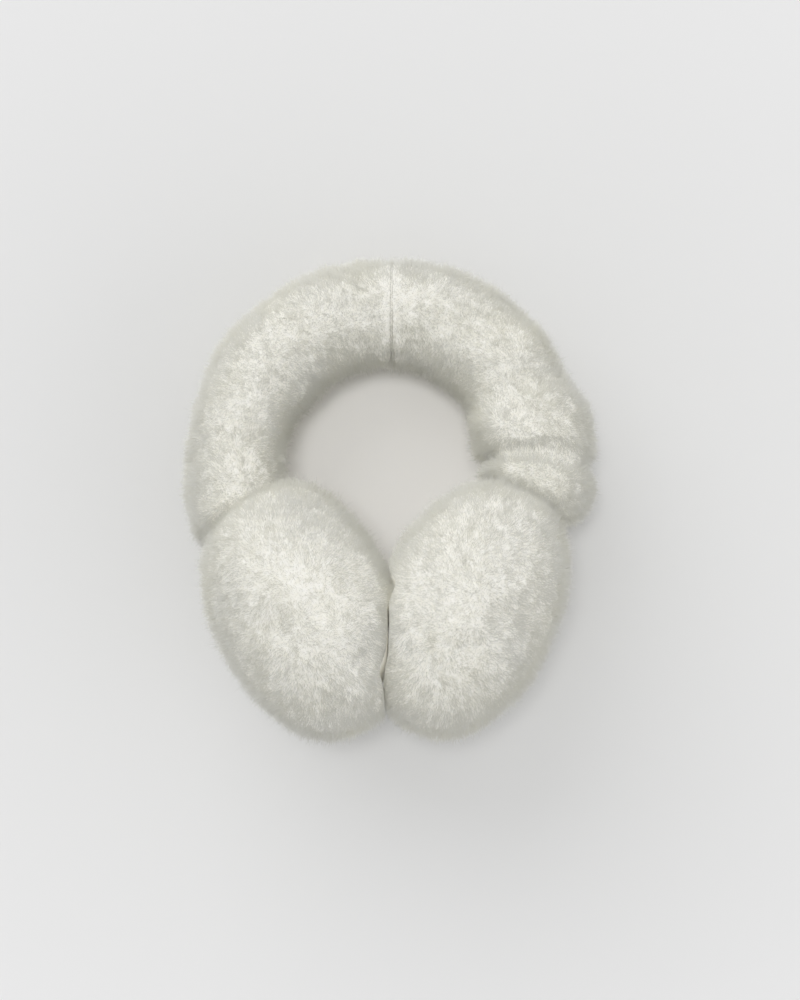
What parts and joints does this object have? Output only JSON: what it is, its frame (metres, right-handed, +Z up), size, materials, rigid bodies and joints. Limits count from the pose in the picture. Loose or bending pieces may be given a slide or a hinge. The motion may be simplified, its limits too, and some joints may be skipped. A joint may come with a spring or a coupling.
{
  "type": "fur earmuffs",
  "caption": "Plush off-white fur earmuffs: thick round ear pads pressed together on the ends of a sprung, fur-wrapped C-shaped headband, lying on their side.",
  "frame": {"origin": "middle of the footprint, on the surface that the earmuffs lie on", "axes": "+Y from the ear pads to the crown of the headband, +X to the right pad, +Z up off the surface"},
  "size_m": [0.1848, 0.2156, 0.1187],
  "materials": {
    "fur": "deep soft off-white plush fur, matt",
    "spring": "plain brushed spring strip, hidden"
  },
  "bodies": {
    "root": {"headband_spring": "spring", "band_fur_left": "fur", "band_fur_right": "fur", "ear_pad_left": "fur", "ear_pad_right": "fur"}
  },
  "joints": []
}
